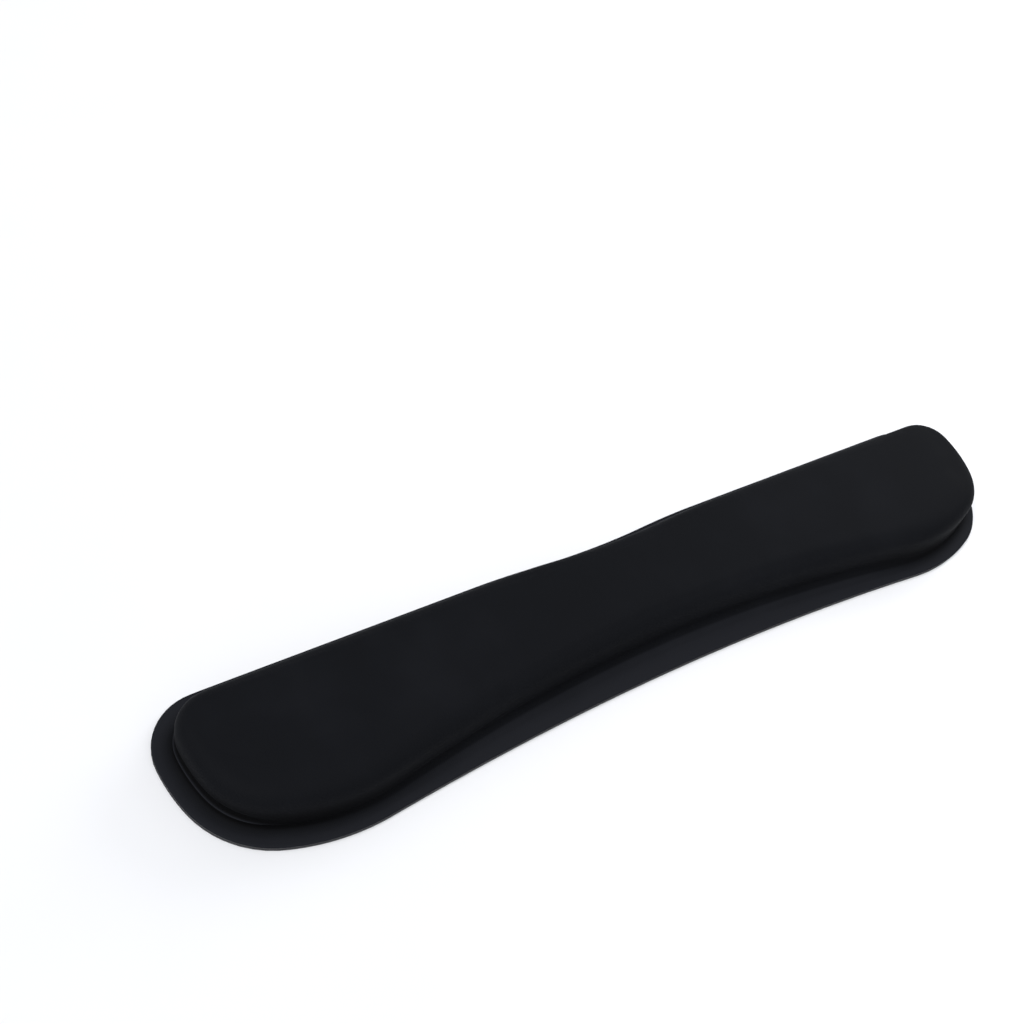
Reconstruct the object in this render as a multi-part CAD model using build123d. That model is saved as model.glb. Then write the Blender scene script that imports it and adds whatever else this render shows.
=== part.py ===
from build123d import *
from math import asin, atan2, cos, pi, sin
import os

# Memory-foam wrist rest for a keyboard, in millimetres.
# +X runs along the rest, +Y points to the keyboard, +Z is up.
# The origin is on the desk, under the middle of the rest.

# Overall sizes
length = 456.0
depth = 83.5
height = 25.0

# Outline of the base, seen from above
waist = 8.0           # how far the user's side curves in at its middle
far_dip = 2.5         # how far the keyboard side curves in at its middle
far_dip_half = 66.0   # half the length of that dip
far_radius = 25.0     # corners on the keyboard side
end_radius = 85.0     # gently curved ends
corner_rise = 36.5    # from the user's side to where each end curve stops
lobe_radius = 100.0   # round front of each lobe, which runs into the waist
lobe_from_end = 65.0  # from the end of the rest to the most forward point of a lobe

# Flange, from the outer edge to the foot of the cushion
flange_end = 8.0
flange_far = 9.5
flange_near = 8.0
flange_waist = 14.5

# Edges of the cushion
top_round = 7.5       # rounded shoulder
foot_cove = 3.0       # hollow curve where the cover turns out into the flange
least_corner = 0.5    # left at the tightest corner of the top where the shoulder takes up the rest

# Thickness of each layer
rubber_thick = 1.8
cloth_thick = 0.3
bond_thick = 0.2
film_thick = 0.2
fabric_thick = 0.6

# Gap between the adhesive under the foam and the adhesive ring round it
bond_gap = 1.5

# How far each end curve turns, in radians
end_turn = asin((depth - far_radius - corner_rise) / end_radius)

# Heights of the layers above the desk
bond_bottom = rubber_thick + cloth_thick
foam_bottom = bond_bottom + bond_thick
skin = film_thick + fabric_thick
flange_top = foam_bottom + skin


def point(centre, radius, angle):
    """Point on a circle, with the angle in radians from +X."""
    return (centre[0] + radius * cos(angle), centre[1] + radius * sin(angle))


def mirrored(points):
    return [(-x, y) for x, y in points]


class Plan:
    """A kidney outline of tangent arcs, which can be drawn again at any distance further in."""

    def __init__(self, half, far, near, waist_in, trim):
        r_far = far_radius - trim
        r_end = end_radius - trim
        r_lobe = lobe_radius - trim

        # Keyboard side: a shallow S on each side of the dip, with equal radii
        r_dip = (far_dip_half**2 + far_dip**2) / (4 * far_dip)
        dip = (0, far - far_dip + r_dip)
        shoulder = (far_dip_half, far - r_dip)
        dip_angle = atan2(shoulder[1] - dip[1], shoulder[0] - dip[0])

        # Keyboard corner, end and lobe
        corner = (half - r_far, far - r_far)
        end = (half - r_end, far - r_far)
        lobe = (length / 2 - lobe_from_end, near + r_lobe)

        # User's corner: the arc that touches the end, where that stops, and the lobe
        stop = point(end, r_end, -end_turn)
        gap_x, gap_y = lobe[0] - stop[0], lobe[1] - stop[1]
        along = gap_x * cos(end_turn) - gap_y * sin(end_turn)
        r_user = (r_lobe**2 - gap_x**2 - gap_y**2) / (2 * (along + r_lobe))
        user = point(stop, -r_user, -end_turn)
        lobe_turn = atan2(lobe[1] - user[1], user[0] - lobe[0])

        # User's side: one long hollow arc that touches both lobes
        r_waist = (lobe[0]**2 - 2 * r_lobe * waist_in + waist_in**2) / (2 * waist_in)
        hollow = (0, near + waist_in - r_waist)
        waist_angle = atan2(lobe[1] - hollow[1], lobe[0] - hollow[0])

        # Centre, radius, first and last angle, and 1 where the arc bulges out or -1 where it is hollow
        self.arcs = [
            (dip, r_dip, -pi / 2, dip_angle, -1),
            (shoulder, r_dip, dip_angle + pi, pi / 2, 1),
            (corner, r_far, pi / 2, 0, 1),
            (end, r_end, 0, -end_turn, 1),
            (user, r_user, -end_turn, -lobe_turn, 1),
            (lobe, r_lobe, -lobe_turn, waist_angle - pi, 1),
            (hollow, r_waist, waist_angle, pi / 2, -1),
        ]
        self.tightest = min(r_far, r_user)

    def face(self, inset=0.0):
        """The area inside the outline, moved in by inset all round."""
        half = []
        for centre, radius, first, last, bulge in self.arcs:
            r = radius - bulge * inset
            half.append([point(centre, r, first + (last - first) * t) for t in (0, 0.5, 1)])
        far_line = [half[1][2], half[2][0]]
        edges = [Line(*far_line), Line(*mirrored(far_line))]
        for arc in half:
            edges.append(ThreePointArc(*arc))
            edges.append(ThreePointArc(*mirrored(arc)))
        return make_face(edges)

    def block(self, bottom, top, inset=0.0):
        """The area inside the outline, made solid between two heights."""
        return extrude(Pos(0, 0, bottom) * self.face(inset), top - bottom)


base = Plan(length / 2, depth / 2, -depth / 2, waist, 0)
cushion = Plan(
    half=length / 2 - flange_end,
    far=depth / 2 - flange_far,
    near=-depth / 2 + flange_near,
    waist_in=waist + flange_waist - flange_near,
    trim=flange_end,
)


def pad(inset):
    """The cushion block with its rounded shoulder, as it is at a depth of inset under the cover."""
    block = cushion.block(foam_bottom, height - inset, inset)
    shoulder = min(top_round, cushion.tightest - least_corner) - inset
    return fillet(block.faces().sort_by(Axis.Z)[-1].edges(), shoulder)


def form(inset):
    """Everything above the adhesive, cushion and flange in one, at a depth of inset."""
    if inset < skin:
        whole = base.block(foam_bottom, flange_top - inset) + pad(inset)
        level = flange_top - inset
    else:
        sheet = base.block(bond_bottom, foam_bottom)
        whole = sheet + pad(inset)
        level = foam_bottom
    foot = [e for e in whole.edges().filter_by_position(Axis.Z, level, level) if inside_flange(e)]
    return fillet(foot, foot_cove + inset)


def inside_flange(edge):
    """True for an edge at the cushion's foot, false for one at the flange's outer edge."""
    return base.face(flange_near / 2).is_inside(Vector(edge.center().X, edge.center().Y, 0))


outer, under_fabric, under_film = form(0), form(fabric_thick), form(skin)
foam = pad(skin)
ring_hole = cushion.block(bond_bottom, foam_bottom, skin)

nodes = {
    "rubber_base": base.block(0, rubber_thick),
    "backing_cloth": base.block(rubber_thick, bond_bottom),
    "edge_bond": under_film - foam - ring_hole,
    "foam_bond": cushion.block(bond_bottom, foam_bottom, skin + bond_gap),
    "foam_core": foam,
    "barrier_film": under_fabric - under_film,
    "cover_fabric": outer - under_fabric,
}

os.makedirs("parts", exist_ok=True)
for name, shape in nodes.items():
    export_step(shape, f"parts/{name}.step")
    print(name, round(shape.volume, 1))
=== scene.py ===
import math

import bpy
import bmesh
import numpy as np
from mathutils import Matrix, Vector


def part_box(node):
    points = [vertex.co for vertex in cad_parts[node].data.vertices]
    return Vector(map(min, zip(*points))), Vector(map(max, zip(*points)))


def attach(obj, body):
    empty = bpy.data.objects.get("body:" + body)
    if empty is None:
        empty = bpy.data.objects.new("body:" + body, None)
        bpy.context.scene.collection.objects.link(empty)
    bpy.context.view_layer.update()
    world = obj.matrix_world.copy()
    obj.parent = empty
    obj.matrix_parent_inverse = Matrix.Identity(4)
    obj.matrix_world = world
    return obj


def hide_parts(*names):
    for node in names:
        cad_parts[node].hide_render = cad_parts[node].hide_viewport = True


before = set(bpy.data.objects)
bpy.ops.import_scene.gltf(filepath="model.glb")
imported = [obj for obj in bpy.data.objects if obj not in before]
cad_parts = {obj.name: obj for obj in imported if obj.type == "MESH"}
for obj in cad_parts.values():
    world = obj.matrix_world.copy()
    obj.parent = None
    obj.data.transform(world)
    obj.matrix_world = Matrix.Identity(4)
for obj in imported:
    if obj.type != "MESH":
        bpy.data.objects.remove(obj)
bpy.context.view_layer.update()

# Keyboard wrist rest: memory foam under a stretch jersey cover, on a rubber sole.
# Shapes are worked out in millimetres and turned to metres when their mesh is made.
mm = 0.001
scene = bpy.context.scene


def highCorner(node):
    return np.array(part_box(node)[1]) / mm


soleTop = highCorner("rubber_base")[2]
clothTop = highCorner("backing_cloth")[2]
halfLength, halfDepth, coverTop = highCorner("cover_fabric")
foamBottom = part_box("foam_core")[0][2] / mm

# The outline is the CAD's own chain of tangent arcs
outline = {
    "waist": 8.0,  # how far the user's side curves in
    "farDip": 2.5,  # and the keyboard side
    "farDipHalf": 66.0,
    "farRadius": 25.0,
    "endRadius": 85.0,
    "cornerRise": 36.5,  # from the user's side to where the end curve stops
    "lobeRadius": 100.0,
    "lobeFromEnd": 65.0,
    "flangeEnd": 8.0,
    "flangeFar": 9.5,
    "flangeNear": 8.0,
    "flangeWaist": 14.5,
    "flangeTop": 3.1,
    "cove": 3.0,
}


def planArcs(half, far, near, waistIn, trim):
    # the right half of the outline, from the middle of the keyboard side round to the user's side
    turn = math.asin((2 * halfDepth - outline["farRadius"] - outline["cornerRise"]) / outline["endRadius"])
    farRadius = outline["farRadius"] - trim
    endRadius = outline["endRadius"] - trim
    lobeRadius = outline["lobeRadius"] - trim
    dipRadius = (outline["farDipHalf"] ** 2 + outline["farDip"] ** 2) / (4 * outline["farDip"])
    dip = (0, far - outline["farDip"] + dipRadius)
    shoulder = (outline["farDipHalf"], far - dipRadius)
    dipAngle = math.atan2(shoulder[1] - dip[1], shoulder[0] - dip[0])
    corner = (half - farRadius, far - farRadius)
    end = (half - endRadius, far - farRadius)
    lobe = (halfLength - outline["lobeFromEnd"], near + lobeRadius)
    stop = (end[0] + endRadius * math.cos(turn), end[1] - endRadius * math.sin(turn))
    gapX, gapY = lobe[0] - stop[0], lobe[1] - stop[1]
    along = gapX * math.cos(turn) - gapY * math.sin(turn)
    userRadius = (lobeRadius**2 - gapX**2 - gapY**2) / (2 * (along + lobeRadius))
    user = (stop[0] - userRadius * math.cos(turn), stop[1] + userRadius * math.sin(turn))
    lobeTurn = math.atan2(lobe[1] - user[1], user[0] - lobe[0])
    waistRadius = (lobe[0] ** 2 - 2 * lobeRadius * waistIn + waistIn**2) / (2 * waistIn)
    hollow = (0, near + waistIn - waistRadius)
    waistAngle = math.atan2(lobe[1] - hollow[1], lobe[0] - hollow[0])
    straight = (outline["farDipHalf"], far - farRadius)
    # first and last centre, radius, first and last angle, and 1 where it bulges out or -1 where it is
    # hollow; only the straight run's centre moves
    return [
        (*dip, *dip, dipRadius, -math.pi / 2, dipAngle, -1),
        (*shoulder, *shoulder, dipRadius, dipAngle + math.pi, math.pi / 2, 1),
        (*straight, *corner, farRadius, math.pi / 2, math.pi / 2, 1),
        (*corner, *corner, farRadius, math.pi / 2, 0, 1),
        (*end, *end, endRadius, 0, -turn, 1),
        (*user, *user, userRadius, -turn, -lobeTurn, 1),
        (*lobe, *lobe, lobeRadius, -lobeTurn, waistAngle - math.pi, 1),
        (*hollow, *hollow, waistRadius, waistAngle, math.pi / 2, -1),
    ]


baseArcs = planArcs(halfLength, halfDepth, -halfDepth, outline["waist"], 0)
padArcs = planArcs(
    halfLength - outline["flangeEnd"],
    halfDepth - outline["flangeFar"],
    -halfDepth + outline["flangeNear"],
    outline["waist"] + outline["flangeWaist"] - outline["flangeNear"],
    outline["flangeEnd"],
)


def trace(arcs, marks, inset=0.0):
    # a mark is an arc's number plus how far along it, and is negative on the left half
    place = np.abs(marks)
    which = np.minimum(place.astype(int), len(arcs) - 1)
    firstX, firstY, lastX, lastY, radius, first, last, bulge = np.array(arcs)[which].T
    along = place - which
    angle = first + (last - first) * along
    reach = radius - bulge * inset
    x = firstX + (lastX - firstX) * along + reach * np.cos(angle)
    y = firstY + (lastY - firstY) * along + reach * np.sin(angle)
    return np.stack([np.where(marks < 0, -x, x), y], axis=1)


grid = {
    "longSteps": 120,  # faces along each long side, an even number
    "endSteps": 18,  # faces round each end
    "farCorner": 3.5,  # marks where the long sides stop and the ends begin
    "nearCorner": 5.6,
}


def spacedMarks():
    # evenly spaced along the pad's outline, clockwise from the middle of the keyboard side
    fine = np.linspace(0, len(padArcs), 6001)
    path = trace(padArcs, fine)
    run = np.concatenate([[0], np.cumsum(np.linalg.norm(np.diff(path, axis=0), axis=1))])
    stops = np.interp([0, grid["farCorner"], grid["nearCorner"], len(padArcs)], fine, run)
    steps = [grid["longSteps"] // 2, grid["endSteps"], grid["longSteps"] // 2]
    parts = [np.linspace(stops[i], stops[i + 1], n, endpoint=False) for i, n in enumerate(steps)]
    right = np.interp(np.concatenate([*parts, [run[-1]]]), run, fine)
    return np.concatenate([right, -right[-2:0:-1]])


marks = spacedMarks()
count = len(marks)
padPlan = trace(padArcs, marks)
half = grid["longSteps"] // 2
farRow = np.arange(-half, half + 1) % count
nearRow = half + grid["endSteps"] + grid["longSteps"] - np.arange(grid["longSteps"] + 1)
rightColumn = half + np.arange(grid["endSteps"] + 1)
leftColumn = (-half - np.arange(grid["endSteps"] + 1)) % count
acrossX = np.linspace(0, 1, grid["longSteps"] + 1)[None, :, None]  # 0 at the left end, 1 at the right
acrossY = np.linspace(0, 1, grid["endSteps"] + 1)[:, None, None]  # 0 on the keyboard side


def patch(ring):
    # fills a ring with a grid that is worked out from its four sides
    far, near, left, right = ring[farRow], ring[nearRow], ring[leftColumn], ring[rightColumn]
    u, v = acrossX, acrossY
    sides = (1 - v) * far[None] + v * near[None] + (1 - u) * left[:, None] + u * right[:, None]
    corners = (1 - v) * ((1 - u) * far[0] + u * far[-1]) + v * ((1 - u) * near[0] + u * near[-1])
    return sides - corners


def ringAt(plan, height):
    return np.column_stack([plan, np.broadcast_to(height, len(plan))])


def loft(rings, firstCap=None, lastCap=None):
    # joins rings, and closes the first or last one with its grid of points
    points = list(rings)
    faces = []
    here = np.arange(count)
    for k in range(len(rings) - 1):
        low, high = here + k * count, here + (k + 1) * count
        faces += np.stack([low, np.roll(low, -1), np.roll(high, -1), high], axis=1).tolist()
    total = len(rings) * count
    for cap, start in ((firstCap, 0), (lastCap, total - count)):
        if cap is None:
            continue
        names = np.zeros(cap.shape[:2], int)
        names[0], names[-1] = start + farRow, start + nearRow
        names[:, 0], names[:, -1] = start + leftColumn, start + rightColumn
        inner = cap[1:-1, 1:-1]
        names[1:-1, 1:-1] = total + np.arange(inner[..., 0].size).reshape(inner.shape[:2])
        total += inner[..., 0].size
        points.append(inner.reshape(-1, inner.shape[2]))
        quads = np.stack([names[:-1, :-1], names[1:, :-1], names[1:, 1:], names[:-1, 1:]], axis=2)
        faces += quads.reshape(-1, 4).tolist()
    return np.concatenate(points), faces


def makePiece(name, points, faces):
    mesh = bpy.data.meshes.new(name)
    mesh.from_pydata((points * mm).tolist(), [], faces)
    shape = bmesh.new()
    shape.from_mesh(mesh)
    bmesh.ops.recalc_face_normals(shape, faces=shape.faces)
    shape.to_mesh(mesh)
    shape.free()
    mesh.shade_smooth()
    piece = bpy.data.objects.new(name, mesh)
    scene.collection.objects.link(piece)
    return piece


def getPoints(mesh):
    flat = np.empty(len(mesh.vertices) * 3)
    mesh.vertices.foreach_get("co", flat)
    return flat.reshape(-1, 3) / mm


def setPoints(mesh, points):
    mesh.vertices.foreach_set("co", (points * mm).ravel())
    mesh.update()


def getNormals(mesh):
    flat = np.empty(len(mesh.vertices) * 3)
    mesh.vertex_normals.foreach_get("vector", flat)
    return flat.reshape(-1, 3)


def smoothStep(value, low, high):
    t = np.clip((value - low) / (high - low), 0, 1)
    return t * t * (3 - 2 * t)


def addFinish(piece, wall=0.0):
    # one subdivision, and a wall's thickness where the piece is a sheet
    finer = piece.modifiers.new("finer", "SUBSURF")
    finer.levels = finer.render_levels = 1
    if wall:
        shell = piece.modifiers.new("wall", "SOLIDIFY")
        shell.thickness = wall * mm
        shell.offset = -1  # inwards
        shell.use_even_offset = True


# Small node helpers

def linear(code):
    # an sRGB hex colour as the shader wants it
    values = [int(code[i : i + 2], 16) / 255 for i in (1, 3, 5)]
    return (*[v / 12.92 if v <= 0.04045 else ((v + 0.055) / 1.055) ** 2.4 for v in values], 1.0)


def addNode(tree, kind, inputs=None, **settings):
    # an input takes another node's output to follow, or a plain value
    node = tree.nodes.new(kind)
    for key, value in settings.items():
        setattr(node, key, value)
    for key, value in (inputs or {}).items():
        if isinstance(value, bpy.types.NodeSocket):
            tree.links.new(value, node.inputs[key])
        else:
            node.inputs[key].default_value = value
    return node


def newMaterial(name):
    material = bpy.data.materials.new(name)
    material.use_nodes = True
    tree = material.node_tree
    coords = addNode(tree, "ShaderNodeTexCoord").outputs
    return material, tree, tree.nodes["Principled BSDF"].inputs, coords


# The cover: one piece of black jersey, from the cut edge over the flange and up over the foam

cover = {
    "fabric": 0.6,
    "film": 0.2,
    "filmGap": 0.02,  # under the fabric's outer face, as well as the fabric
    "foamGap": 0.3,
    "rimLift": 0.25,  # the cut edge over the backing cloth, which leaves the bond's edge showing
    "rimRound": 0.9,  # pressed-down edge of the flange
    "rimTurns": (0, 30, 60),  # degrees round that edge, where a ring lies
    "flangeShares": (0.0, 0.2, 0.45, 0.7, 0.88),  # and shares of the way across the flange
    "waistCove": 5.5,  # roundness of the foot at the waist
    "bridgeStart": 100,  # from the middle to where that starts to fade, and where it has gone
    "bridgeEnd": 210,
    "sideFade": 10,  # how far from the middle line the user's side is fully itself
    "endStart": 36,  # from the tip to where the end's own creases start, and are full
    "endFull": 16,
    "shoulderNear": 9.0,  # how far the rounded shoulder reaches in over the top
    "shoulderFar": 7.0,
    "shoulderDrop": 7.5,
    "shoulderTurns": (0, 12, 24, 36, 48, 60, 72, 84),
    "footHeights": (3.1, 3.4, 3.9, 4.5, 5.1, 5.7, 6.1, 6.4, 6.65, 6.9, 7.15, 7.5, 8.0, 9.0),
    "wallHeights": (10.0, 11.0, 12.0, 13.0, 14.5),
    "crown": 0.4,
    "creaseHeight": 6.8,
    "creaseOut": 0.8,
    "creaseWidth": 0.36,
    "tuck": 0.55,  # how far the wall pulls in under the crease, less than fabric and film together
    "tuckDrop": 1.5,
    "tuckWidth": 0.9,
    "pinch": 1.3,  # and above it, before the foam bulges out again
    "pinchRise": 2.6,
    "pinchWidth": 2.0,
    "pressure": 4.0,
    "frames": 20,
    "mostMove": 0.8,  # the cover swells by up to this much
}


def coveRadius():
    # the stretched jersey bridges the hollow of the waist, so its foot is rounder there
    return outline["cove"] + (cover["waistCove"] - outline["cove"]) * bridging()


def bridging():
    # 1 along the middle of the user's side, 0 at the ends and on the keyboard side
    alongWaist = 1 - smoothStep(np.abs(padPlan[:, 0]), cover["bridgeStart"], cover["bridgeEnd"])
    return alongWaist * smoothStep(-padPlan[:, 1], 0, cover["sideFade"])


def endness(x):
    # 1 at the ends and 0 along the long sides
    return smoothStep(halfLength - np.abs(x), cover["endStart"], cover["endFull"])


def wallInset(height):
    # how far the wall stands in from the pad's outline, less than nothing in the cove
    cove = coveRadius()
    rise = np.clip(height - outline["flangeTop"], 0, cove)
    away = (height - cover["creaseHeight"] - cover["pinchRise"]) / cover["pinchWidth"]
    pinched = endness(padPlan[:, 0]) * cover["pinch"] * math.exp(-(away**2))
    return np.sqrt(cove**2 - (cove - rise) ** 2) - cove + pinched


def lowRings(depth=0.0):
    # from the cut edge in to the foot of the cushion, at a depth under the fabric's outer face
    foot = trace(padArcs, marks, -coveRadius())
    flangeTop = outline["flangeTop"] - depth
    low = clothTop + cover["rimLift"]
    rings = []
    if depth == 0:
        for turn in cover["rimTurns"]:
            a = math.radians(turn)
            inset = cover["rimRound"] * (1 - math.cos(a))
            height = low + (flangeTop - low) * math.sin(a)
            rings.append(ringAt(trace(baseArcs, marks, inset), height))
    edge = trace(baseArcs, marks, cover["rimRound"])
    for share in cover["flangeShares"]:
        rings.append(ringAt(edge * (1 - share) + foot * share, flangeTop))
    # at the ends the foot tucks in under a thin crease, which fades out round the corners
    ends = endness(padPlan[:, 0])
    for height in cover["footHeights"]:
        above = height - cover["creaseHeight"]
        inset = wallInset(height)
        if depth:
            inset += depth + ends * cover["tuck"]
        else:
            ridge = cover["creaseOut"] * math.exp(-((above / cover["creaseWidth"]) ** 2))
            under = cover["tuck"] * math.exp(-(((above + cover["tuckDrop"]) / cover["tuckWidth"]) ** 2))
            inset += ends * (under - ridge)
        down = depth * (height < outline["flangeTop"] + outline["cove"])
        rings.append(ringAt(trace(padArcs, marks, inset), height - down))
    return rings


def highRings():
    # the wall and the rounded shoulder
    wallTop = coverTop - cover["crown"] - cover["shoulderDrop"]
    rings = []
    for height in cover["wallHeights"]:
        rings.append(ringAt(trace(padArcs, marks, wallInset(height)), height))
    near = smoothStep(-padPlan[:, 1], -cover["sideFade"], cover["sideFade"])
    reach = cover["shoulderFar"] + (cover["shoulderNear"] - cover["shoulderFar"]) * near
    for turn in cover["shoulderTurns"]:
        a = math.radians(turn)
        height = wallTop + cover["shoulderDrop"] * math.sin(a)
        rings.append(ringAt(trace(padArcs, marks, reach * (1 - math.cos(a))), height))
    return rings


def crowned(ring):
    # the top rises a little towards its middle line, and falls away only at its ends
    cap = patch(ring)
    u, v = acrossX[..., 0], acrossY[..., 0]
    rise = (1 - (2 * v - 1) ** 2) * (1 - (2 * u - 1) ** 8)
    cap[..., 2] += cover["crown"] * rise
    return cap


def layFlat(rings, cap):
    # the fabric's own flat coordinates: straight down on top, and unrolled outwards at the sides
    flat = [rings[-1][:, :2]]
    outward = padPlan - trace(padArcs, marks, 1.0)
    for k in range(len(rings) - 2, -1, -1):
        gap = np.linalg.norm(rings[k] - rings[k + 1], axis=1)
        flat.append(flat[-1] + outward * gap[:, None])
    return np.concatenate([*flat[::-1], cap[1:-1, 1:-1, :2].reshape(-1, 2)])


# painted light and shade laid into the jersey's colour, as a share: painted highlights on the cut edge,
# flange and crease, painted shade low on the wall, at its foot and in the waist's valley
paintedShading = {
    # painted highlight along the cut edge, painted light on the flange
    "edge": 0.9,
    "edgeRings": 3,
    "flange": 0.65,
    "top": 0.5,
    # painted shade low on the wall, fading out between these heights
    "darkBelow": 10,  # heights between which the wall turns as pale as the top
    "paleAbove": 20,
    # painted shade at the foot of the wall
    "foot": [0.6, 0.45, 0.25],  # the first rings up from the flange
    "waistFlange": 0.8,  # where the jersey bridges the hollow
    "waistFoot": 0.75,
    # a band of painted shade in the valley at the waist
    "valley": 0.08,  # how much darker the valley is at the waist
    "valleyHeight": 9.5,
    "valleyWidth": 2.5,
    # painted highlight on the crease
    "crease": 1.3,
    "creaseWidth": 0.35,
}


def addPaintedShading(mesh, points):
    # painted light and shade: high for painted light on the flange, less on top, 0 for painted shade low on
    # the wall
    height = points[:, 2]
    shadeLevel = paintedShading["top"] * smoothStep(height, paintedShading["darkBelow"], paintedShading["paleAbove"])
    flangeRings = len(cover["rimTurns"]) + len(cover["flangeShares"])
    sideRings = len(cover["footHeights"]) + len(cover["wallHeights"]) + len(cover["shoulderTurns"])
    across = bridging()
    # where the jersey bridges the waist, the wall gets the top's painted light, less a band of painted
    # shade in the valley
    for k in range(flangeRings, flangeRings + sideRings):
        ring = slice(k * count, (k + 1) * count)
        away = (height[ring] - paintedShading["valleyHeight"]) / paintedShading["valleyWidth"]
        shadeLevel[ring] += (paintedShading["top"] - paintedShading["valley"] * np.exp(-(away**2)) - shadeLevel[ring]) * across
    # painted light on the flange, with a painted highlight at its cut edge
    for k in range(flangeRings):
        fade = smoothStep(k, paintedShading["edgeRings"], flangeRings)
        inner = paintedShading["flange"] + (paintedShading["waistFlange"] - paintedShading["flange"]) * across
        shadeLevel[k * count : (k + 1) * count] = paintedShading["edge"] + (inner - paintedShading["edge"]) * fade
    # painted shade at the foot of the wall, lighter where the jersey bridges the waist
    for k, foot in enumerate(paintedShading["foot"]):
        ring = slice((flangeRings + k) * count, (flangeRings + k + 1) * count)
        shadeLevel[ring] = foot + (paintedShading["waistFoot"] - foot) * across
    # a painted highlight along the crease
    creaseHighlight = np.exp(-(((height - cover["creaseHeight"]) / paintedShading["creaseWidth"]) ** 2))
    shadeLevel = np.maximum(shadeLevel, paintedShading["crease"] * endness(points[:, 0]) * creaseHighlight)
    layer = mesh.attributes.new("paintedShading", "FLOAT", "POINT")
    layer.data.foreach_set("value", shadeLevel)


def addFlatMap(mesh, flat):
    layer = mesh.uv_layers.new(name="fabric")
    corners = np.empty(len(mesh.loops), int)
    mesh.loops.foreach_get("vertex_index", corners)
    layer.data.foreach_set("uv", (flat[corners] * mm).ravel())


def pumpUp(piece, heldPoints):
    # the foam pushes the jersey out: cloth with the flange and foot held still
    before = getPoints(piece.data)
    group = piece.vertex_groups.new(name="held")
    group.add(list(range(heldPoints)), 1.0, "REPLACE")
    cloth = piece.modifiers.new("cloth", "CLOTH")
    cloth.settings.vertex_group_mass = "held"
    cloth.settings.use_pressure = True
    cloth.settings.uniform_pressure_force = cover["pressure"]
    cloth.settings.effector_weights.gravity = 0
    cloth.point_cache.frame_start = 1
    cloth.point_cache.frame_end = cover["frames"]
    for step in range(1, cover["frames"] + 1):
        scene.frame_set(step)
    evaluated = piece.evaluated_get(bpy.context.evaluated_depsgraph_get())
    after = getPoints(evaluated.data)
    piece.modifiers.remove(cloth)
    piece.vertex_groups.remove(group)
    scene.frame_set(1)
    # the soft foam only ever pushes outwards
    normals = getNormals(piece.data)
    outward = np.maximum(((after - before) * normals).sum(axis=1), 0)
    print("cover pushed out up to", round(float(outward.max()), 2), "mm")
    soft = cover["mostMove"] * np.tanh(outward / cover["mostMove"])
    setPoints(piece.data, before + normals * soft[:, None])


def makeCover():
    low, high = lowRings(), highRings()
    rings = low + high
    cap = crowned(rings[-1])
    points, faces = loft(rings, lastCap=cap)
    piece = makePiece("cover", points, faces)
    pumpUp(piece, len(low) * count)
    addFlatMap(piece.data, layFlat(rings, cap))
    addPaintedShading(piece.data, points)
    return piece


waveRepeat = math.pi / 10  # a wave texture's bands are this far apart at scale 1


def jersey():
    # nylon jersey, knitted: matt black, with fine ribs and the loops along them, and painted light and
    # shade in its colour: paler for painted light on the flange and crease, darker for painted shade low on
    # the wall
    material, tree, skin, coords = newMaterial("blackNylonJersey")
    # real ribs are 0.45 mm apart and the loops along them 0.3 mm, drawn twice as coarse so that they show
    rib, loop = 0.9 * mm, 0.63 * mm
    ribs = addNode(
        tree, "ShaderNodeTexWave",
        {
            "Vector": coords["UV"],
            "Scale": waveRepeat / rib,
            "Distortion": 1.5,
            "Detail": 1.0,
            "Detail Scale": 2.0,
        },
        bands_direction="X",
    )
    loops = addNode(
        tree, "ShaderNodeTexWave",
        {
            "Vector": coords["UV"],
            "Scale": waveRepeat / loop,
            "Distortion": 2.0,
            "Detail": 1.0,
            "Detail Scale": 2.0,
        },
        bands_direction="Y",
    )
    knit = addNode(
        tree, "ShaderNodeMath", {0: ribs.outputs["Fac"], 1: loops.outputs["Fac"]}, operation="MULTIPLY"
    )
    bump = addNode(
        tree, "ShaderNodeBump", {"Height": knit.outputs[0], "Strength": 0.25, "Distance": 0.12 * mm}
    )
    # the jersey's colour and fluff vary slowly and at random over a hand's width, which keeps the long top
    # from looking flat
    mottle = addNode(
        tree, "ShaderNodeTexNoise",
        {"Vector": coords["Object"], "Scale": 1 / (45 * mm), "Detail": 3.0, "Roughness": 0.55},
    )
    # painted light and shade, read from the cover's point attribute and added to the random tone
    paintedShadeInput = addNode(tree, "ShaderNodeAttribute", attribute_name="paintedShading")
    mottleAndShade = addNode(
        tree, "ShaderNodeMath", {0: mottle.outputs["Fac"], 1: 0.3, 2: paintedShadeInput.outputs["Fac"]},
        operation="MULTIPLY_ADD",
    )
    # the ramp runs from painted shade (#070708) through the top's black to painted highlight (#1e1f23)
    tone = addNode(tree, "ShaderNodeValToRGB", {"Fac": mottleAndShade.outputs[0]})
    stops = tone.color_ramp.elements
    stops.new(0.65)
    for stop, place, colour in zip(stops, (0.15, 0.65, 1.0), ("#070708", "#121316", "#1e1f23")):
        stop.position = place
        stop.color = linear(colour)
    # the same patches are a little more or less fluffy
    fluff = addNode(
        tree, "ShaderNodeMapRange", {"Value": mottle.outputs["Fac"], "To Min": 0.58, "To Max": 0.74}
    )
    tree.links.new(tone.outputs["Color"], skin["Base Color"])
    tree.links.new(bump.outputs[0], skin["Normal"])
    tree.links.new(fluff.outputs[0], skin["Roughness"])
    skin["Specular IOR Level"].default_value = 0.03
    skin["Sheen Weight"].default_value = 0.012  # loose fibre ends
    skin["Sheen Roughness"].default_value = 0.4
    skin["Sheen Tint"].default_value = linear("#dfe6f5")
    return material


# The layers under the cover

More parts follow.
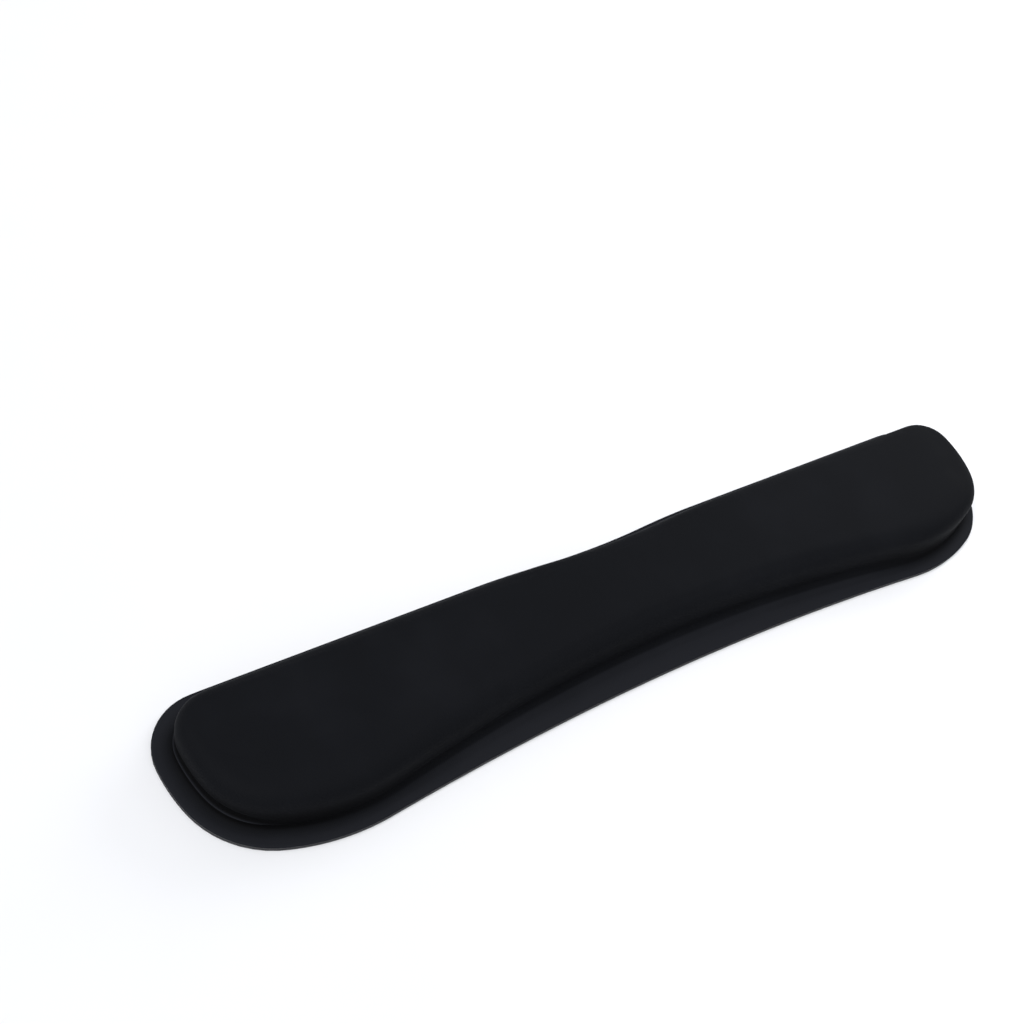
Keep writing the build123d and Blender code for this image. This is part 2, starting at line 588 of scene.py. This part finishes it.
def underCover(coverPiece, depth):
    # the cushion's rings and top at a depth under the pumped-up cover
    points = getPoints(coverPiece.data) - getNormals(coverPiece.data) * depth
    lowCount, highCount = len(lowRings()), len(highRings())
    rings = [points[k * count : (k + 1) * count] for k in range(lowCount, lowCount + highCount)]
    cap = np.zeros((grid["endSteps"] + 1, grid["longSteps"] + 1, 3))
    inner = points[(lowCount + highCount) * count :]
    cap[1:-1, 1:-1] = inner.reshape(grid["endSteps"] - 1, grid["longSteps"] - 1, 3)
    return rings, cap


def makeFilm(coverPiece):
    # lies against the inside of the fabric, from the flange's edge up
    depth = cover["fabric"] + cover["filmGap"]
    rings, cap = underCover(coverPiece, depth)
    return makePiece("barrierFilm", *loft(lowRings(depth) + rings, lastCap=cap))


def makeFoam(coverPiece):
    depth = cover["fabric"] + cover["foamGap"]
    rings, cap = underCover(coverPiece, depth)
    foot = ringAt(trace(padArcs, marks, depth + cover["pinch"]), foamBottom)
    waist = ringAt(foot[:, :2], lowRings()[-1][0, 2])
    return makePiece("foamPad", *loft([foot, waist, *rings], firstCap=patch(foot), lastCap=cap))


def memoryFoam():
    # open cells: small soft pits, with painted shade darkening the inside of each
    material, tree, skin, coords = newMaterial("memoryFoam")
    cell = 0.8 * mm  # real cells are about 0.3 mm, drawn coarser
    cells = addNode(tree, "ShaderNodeTexVoronoi", {"Vector": coords["Object"], "Scale": 1 / cell})
    # painted shade: darker towards the middle of each pit
    tone = addNode(
        tree, "ShaderNodeMix", {0: cells.outputs["Distance"], 6: linear("#3b3c40"), 7: linear("#4a4b50")},
        data_type="RGBA",
    )
    bump = addNode(
        tree, "ShaderNodeBump", {"Height": cells.outputs["Distance"], "Strength": 0.6, "Distance": 0.2 * mm}
    )
    tree.links.new(tone.outputs[2], skin["Base Color"])
    tree.links.new(bump.outputs[0], skin["Normal"])
    skin["Roughness"].default_value = 0.95
    return material


def polyurethaneFilm():
    # a thin half-matt skin that is puckered a little where it is stuck to the jersey
    material, tree, skin, coords = newMaterial("polyurethaneFilm")
    puckers = addNode(
        tree, "ShaderNodeTexNoise", {"Vector": coords["Object"], "Scale": 1 / (6 * mm), "Detail": 2.0}
    )
    bump = addNode(
        tree, "ShaderNodeBump", {"Height": puckers.outputs["Fac"], "Strength": 0.5, "Distance": 0.05 * mm}
    )
    tone = addNode(
        tree, "ShaderNodeMix", {0: puckers.outputs["Fac"], 6: linear("#2a2b2f"), 7: linear("#333438")},
        data_type="RGBA",
    )
    tree.links.new(tone.outputs[2], skin["Base Color"])
    tree.links.new(bump.outputs[0], skin["Normal"])
    skin["Roughness"].default_value = 0.45
    return material


def hotMeltAdhesive():
    # set in flat blobs, so its thin edge catches the light unevenly
    material, tree, skin, coords = newMaterial("hotMeltAdhesive")
    blobs = addNode(
        tree, "ShaderNodeTexNoise", {"Vector": coords["Object"], "Scale": 1 / (4 * mm), "Detail": 1.0}
    )
    tone = addNode(
        tree, "ShaderNodeMix", {0: blobs.outputs["Fac"], 6: linear("#2a2a2b"), 7: linear("#343436")},
        data_type="RGBA",
    )
    shine = addNode(
        tree, "ShaderNodeMapRange", {"Value": blobs.outputs["Fac"], "To Min": 0.25, "To Max": 0.5}
    )
    tree.links.new(tone.outputs[2], skin["Base Color"])
    tree.links.new(shine.outputs[0], skin["Roughness"])
    return material


def wovenPolyester():
    # plain weave: threads crossing both ways, seen only at its cut edge
    material, tree, skin, coords = newMaterial("wovenPolyester")
    thread = 0.7 * mm  # real threads are about 0.35 mm apart, drawn coarser
    warp = addNode(
        tree, "ShaderNodeTexWave", {"Vector": coords["Object"], "Scale": waveRepeat / thread},
        bands_direction="X",
    )
    weft = addNode(
        tree, "ShaderNodeTexWave", {"Vector": coords["Object"], "Scale": waveRepeat / thread},
        bands_direction="Y",
    )
    weave = addNode(
        tree, "ShaderNodeMath", {0: warp.outputs["Fac"], 1: weft.outputs["Fac"]}, operation="MULTIPLY"
    )
    tone = addNode(
        tree, "ShaderNodeMix", {0: weave.outputs[0], 6: linear("#232427"), 7: linear("#2d2e32")},
        data_type="RGBA",
    )
    bump = addNode(
        tree, "ShaderNodeBump", {"Height": weave.outputs[0], "Strength": 0.5, "Distance": 0.1 * mm}
    )
    tree.links.new(tone.outputs[2], skin["Base Color"])
    tree.links.new(bump.outputs[0], skin["Normal"])
    skin["Roughness"].default_value = 0.9
    return material


# The sole: rubber with small moulded pips that grip the desk

sole = {
    "relief": 0.6,  # depth of the recess that the pips stand in
    "rim": 3.0,  # plain border round the recess
    "rimSlope": 0.3,
    "edge": 0.35,  # softened lower edge
    "edgeMiddle": 0.3,  # share of it that is left at its middle, as on a quarter round
    "pitch": 5.0,
    "pipTip": 0.9,  # radii of a pip
    "pipFoot": 1.3,
    "pipSides": 8,
    "pipSink": 0.1,  # how far a pip goes into the sole
    "rayStart": 10.0,  # how far below the sole the pips' places are tested from
}


def soleBody():
    relief, rim, edge = sole["relief"], sole["rim"], sole["edge"]
    # inset and height of each ring: the side, the softened edge, the rim and the slope up to the recess
    middle = sole["edgeMiddle"] * edge
    steps = [(0.0, soleTop), (0.0, edge), (middle, middle), (edge, 0.0), (rim, 0.0)]
    steps.append((rim + sole["rimSlope"], relief))
    rings = [ringAt(trace(baseArcs, marks, inset), height) for inset, height in steps]
    points, faces = loft(rings, firstCap=patch(rings[0]), lastCap=patch(rings[-1]))
    piece = makePiece("gripSole", points, faces)
    inside = np.zeros(len(points))
    inside[-(grid["endSteps"] - 1) * (grid["longSteps"] - 1) :] = 1  # the recess under the sole
    piece.data.attributes.new("recess", "FLOAT", "POINT").data.foreach_set("value", inside)
    return piece


def mouldedRubber():
    # the dull, even skin that a spark-textured mould leaves
    material, tree, skin, coords = newMaterial("mouldedRubber")
    spark = 0.6 * mm  # real pits are about 0.1 mm, drawn coarser
    pits = addNode(
        tree, "ShaderNodeTexNoise", {"Vector": coords["Object"], "Scale": 1 / spark, "Detail": 2.0}
    )
    # a faint bloom of talc in patches
    bloom = addNode(
        tree, "ShaderNodeTexNoise", {"Vector": coords["Object"], "Scale": 1 / (30 * mm), "Detail": 3.0}
    )
    tone = addNode(
        tree, "ShaderNodeMix", {0: bloom.outputs["Fac"], 6: linear("#242528"), 7: linear("#323336")},
        data_type="RGBA",
    )
    bump = addNode(
        tree, "ShaderNodeBump", {"Height": pits.outputs["Fac"], "Strength": 0.5, "Distance": 0.05 * mm}
    )
    tree.links.new(tone.outputs[2], skin["Base Color"])
    tree.links.new(bump.outputs[0], skin["Normal"])
    skin["Roughness"].default_value = 0.8
    return material


def gripTree():
    tree = bpy.data.node_groups.new("gripPips", "GeometryNodeTree")
    face = tree.interface
    face.new_socket("Geometry", in_out="INPUT", socket_type="NodeSocketGeometry")
    for name in ("Row Gap", "Pitch", "Pip Tip", "Pip Foot", "Pip Height"):
        face.new_socket(name, in_out="INPUT", socket_type="NodeSocketFloat")
    for name in ("Rows", "Pips In Row", "Pip Sides"):
        face.new_socket(name, in_out="INPUT", socket_type="NodeSocketInt")
    face.new_socket("Material", in_out="INPUT", socket_type="NodeSocketMaterial")
    face.new_socket("Geometry", in_out="OUTPUT", socket_type="NodeSocketGeometry")
    given = addNode(tree, "NodeGroupInput").outputs
    # a grid of points under the sole, with every other row moved half a pitch
    gaps = addNode(tree, "ShaderNodeMath", {0: given["Rows"], 1: 1.0}, operation="SUBTRACT")
    long = addNode(tree, "ShaderNodeMath", {0: gaps.outputs[0], 1: given["Row Gap"]}, operation="MULTIPLY")
    steps = addNode(tree, "ShaderNodeMath", {0: given["Pips In Row"], 1: 1.0}, operation="SUBTRACT")
    deep = addNode(tree, "ShaderNodeMath", {0: steps.outputs[0], 1: given["Pitch"]}, operation="MULTIPLY")
    field = addNode(
        tree, "GeometryNodeMeshGrid",
        {
            "Size X": long.outputs[0],
            "Size Y": deep.outputs[0],
            "Vertices X": given["Rows"],
            "Vertices Y": given["Pips In Row"],
        },
    )
    number = addNode(tree, "GeometryNodeInputIndex").outputs[0]
    part = addNode(tree, "ShaderNodeMath", {0: number, 1: given["Pips In Row"]}, operation="DIVIDE")
    row = addNode(tree, "ShaderNodeMath", {0: part.outputs[0]}, operation="FLOOR")
    odd = addNode(tree, "ShaderNodeMath", {0: row.outputs[0], 1: 2.0}, operation="MODULO")
    halfStep = addNode(tree, "ShaderNodeMath", {0: given["Pitch"], 1: 0.5}, operation="MULTIPLY")
    stagger = addNode(
        tree, "ShaderNodeMath", {0: odd.outputs[0], 1: halfStep.outputs[0]}, operation="MULTIPLY"
    )
    shift = addNode(tree, "ShaderNodeCombineXYZ", {"Y": stagger.outputs[0]})
    moved = addNode(
        tree, "GeometryNodeSetPosition", {"Geometry": field.outputs["Mesh"], "Offset": shift.outputs[0]}
    )
    # only points with the recess straight above them keep a pip
    rayStart = sole["rayStart"] * mm
    recess = addNode(tree, "GeometryNodeInputNamedAttribute", {"Name": "recess"}, data_type="FLOAT")
    place = addNode(tree, "GeometryNodeInputPosition").outputs[0]
    below = addNode(tree, "ShaderNodeVectorMath", {0: place, 1: (0, 0, rayStart)}, operation="SUBTRACT")
    ray = addNode(
        tree, "GeometryNodeRaycast",
        {
            "Target Geometry": given["Geometry"],
            "Attribute": recess.outputs["Attribute"],
            "Source Position": below.outputs[0],
            "Ray Direction": (0, 0, 1),
            "Ray Length": 2 * rayStart,
        },
        data_type="FLOAT",
    )
    outside = addNode(
        tree, "ShaderNodeMath", {0: ray.outputs["Attribute"], 1: 0.99}, operation="LESS_THAN"
    )
    kept = addNode(
        tree, "GeometryNodeDeleteGeometry", {"Geometry": moved.outputs[0], "Selection": outside.outputs[0]},
        domain="POINT",
    )
    pip = addNode(
        tree, "GeometryNodeMeshCone",
        {
            "Vertices": given["Pip Sides"],
            "Radius Top": given["Pip Foot"],
            "Radius Bottom": given["Pip Tip"],
            "Depth": given["Pip Height"],
        },
    )
    placed = addNode(
        tree, "GeometryNodeInstanceOnPoints", {"Points": kept.outputs[0], "Instance": pip.outputs["Mesh"]}
    )
    both = addNode(tree, "GeometryNodeJoinGeometry", {0: given["Geometry"]})
    tree.links.new(placed.outputs[0], both.inputs[0])
    real = addNode(tree, "GeometryNodeRealizeInstances", {"Geometry": both.outputs[0]})
    finished = addNode(
        tree, "GeometryNodeSetMaterial", {"Geometry": real.outputs[0], "Material": given["Material"]}
    )
    addNode(tree, "NodeGroupOutput", {"Geometry": finished.outputs[0]})
    return tree


def addPips(piece, material):
    tree = gripTree()
    pips = piece.modifiers.new("pips", "NODES")
    pips.node_group = tree
    rowGap = sole["pitch"] * math.sin(math.pi / 3)
    values = {
        "Row Gap": rowGap * mm,
        "Pitch": sole["pitch"] * mm,
        "Rows": round(2 * halfLength / rowGap),
        "Pips In Row": round(2 * halfDepth / sole["pitch"]),
        "Pip Tip": sole["pipTip"] * mm,
        "Pip Foot": sole["pipFoot"] * mm,
        "Pip Height": (sole["relief"] + sole["pipSink"]) * mm,
        "Pip Sides": sole["pipSides"],
        "Material": material,
    }
    for socket in tree.interface.items_tree:
        if socket.in_out == "INPUT" and socket.name in values:
            pips[socket.identifier] = values[socket.name]
    evaluated = piece.evaluated_get(bpy.context.evaluated_depsgraph_get())
    mesh = bpy.data.meshes.new_from_object(evaluated)
    piece.modifiers.remove(pips)
    piece.data = mesh
    print("sole has", len(mesh.polygons), "faces with its pips")


# Build

coverPiece = makeCover()
coverPiece.data.materials.append(jersey())
print("cover made")
filmPiece = makeFilm(coverPiece)
filmPiece.data.materials.append(polyurethaneFilm())
foamPiece = makeFoam(coverPiece)
foamPiece.data.materials.append(memoryFoam())
print("film and foam made")
addFinish(coverPiece, cover["fabric"])
addFinish(filmPiece, cover["film"])
addFinish(foamPiece)
solePiece = soleBody()
addPips(solePiece, mouldedRubber())

# the layers glued between keep the CAD's own shape
adhesive = hotMeltAdhesive()
for node, material in (
    ("backing_cloth", wovenPolyester()),
    ("edge_bond", adhesive),
    ("foam_bond", adhesive),
):
    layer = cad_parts[node].data
    layer.materials.clear()
    layer.materials.append(material)
print("layers between given their materials")

for piece, node, slot in (
    (coverPiece, "cover_fabric", "cover_fabric"),
    (filmPiece, "barrier_film", "barrier_film"),
    (foamPiece, "foam_core", "foam"),
    (solePiece, "rubber_base", "base_rubber"),
):
    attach(piece, "root")
    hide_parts(node)
print("pieces tied to the frame")

# Desk, lights and camera

room = {
    "deskHalf": 6000,
    "windowPlace": (900, 300, 500),  # on the user's right, and behind
    "windowWidth": 700,
    "windowHeight": 500,
    "windowWatts": 3.6,
    "skylightPlace": (-600, -120, 1000),  # only its direction counts
    "skylightStrength": 2.3,
    "skylightSpread": 40,  # degrees, so its shadows are very soft
    "domeLow": 0.15,
    "domeHigh": 0.8,
}
view = {
    "place": (-326.3, -214.5, 477.0),
    "aim": (-30.7, 67.7, 12.0),
    "roll": 19.0,  # degrees, which sets the rest across the corner of the frame
    "lens": 45.7,
}


def whiteLaminate():
    # a desk top: nearly even, with a very faint cloudiness
    material, tree, skin, coords = newMaterial("whiteLaminate")
    cloud = addNode(
        tree, "ShaderNodeTexNoise", {"Vector": coords["Object"], "Scale": 1 / (60 * mm), "Detail": 3.0}
    )
    tone = addNode(
        tree, "ShaderNodeMix", {0: cloud.outputs["Fac"], 6: linear("#e7e7e9"), 7: linear("#eaeaec")},
        data_type="RGBA",
    )
    tree.links.new(tone.outputs[2], skin["Base Color"])
    skin["Roughness"].default_value = 0.6
    return material


def makeDesk():
    far = room["deskHalf"] * mm
    mesh = bpy.data.meshes.new("desk")
    mesh.from_pydata([(-far, -far, 0), (far, -far, 0), (far, far, 0), (-far, far, 0)], [], [(0, 1, 2, 3)])
    mesh.materials.append(whiteLaminate())
    desk = bpy.data.objects.new("desk", mesh)
    scene.collection.objects.link(desk)


def addLamp(light, place):
    # pointed at the middle of the wrist rest
    lamp = bpy.data.objects.new(light.name, light)
    lamp.location = Vector(place) * mm
    lamp.rotation_euler = (-Vector(place)).to_track_quat("-Z", "Y").to_euler()
    scene.collection.objects.link(lamp)


def makeLights():
    window = bpy.data.lights.new("window", "AREA")
    window.shape = "RECTANGLE"
    window.size = room["windowWidth"] * mm
    window.size_y = room["windowHeight"] * mm
    window.energy = room["windowWatts"]
    addLamp(window, room["windowPlace"])
    skylight = bpy.data.lights.new("skylight", "SUN")
    skylight.energy = room["skylightStrength"]
    skylight.angle = math.radians(room["skylightSpread"])
    addLamp(skylight, room["skylightPlace"])


def makeDome():
    # a studio dome: bright overhead, dim near the horizon
    world = bpy.data.worlds.new("room")
    world.use_nodes = True
    tree = world.node_tree
    sky = tree.nodes["Background"]
    coords = addNode(tree, "ShaderNodeTexCoord")
    split = addNode(tree, "ShaderNodeSeparateXYZ", {0: coords.outputs["Generated"]})
    strength = addNode(
        tree, "ShaderNodeMapRange",
        {
            "Value": split.outputs["Z"], "From Min": 0.2, "From Max": 0.9,
            "To Min": room["domeLow"], "To Max": room["domeHigh"],
        },
        interpolation_type="SMOOTHSTEP",
    )
    tree.links.new(strength.outputs[0], sky.inputs["Strength"])
    sky.inputs["Color"].default_value = linear("#f3f6fa")
    scene.world = world


def makeCamera():
    place, aim = Vector(view["place"]), Vector(view["aim"])
    data = bpy.data.cameras.new("camera")
    data.lens = view["lens"]
    camera = bpy.data.objects.new("camera", data)
    turn = (aim - place).to_track_quat("-Z", "Y").to_matrix().to_4x4()
    spin = Matrix.Rotation(math.radians(view["roll"]), 4, "Z")
    camera.matrix_world = Matrix.Translation(place * mm) @ turn @ spin
    scene.collection.objects.link(camera)
    scene.camera = camera


makeDesk()
makeLights()
makeDome()
makeCamera()
scene.view_settings.view_transform = "Standard"
print("desk, lights and camera made")
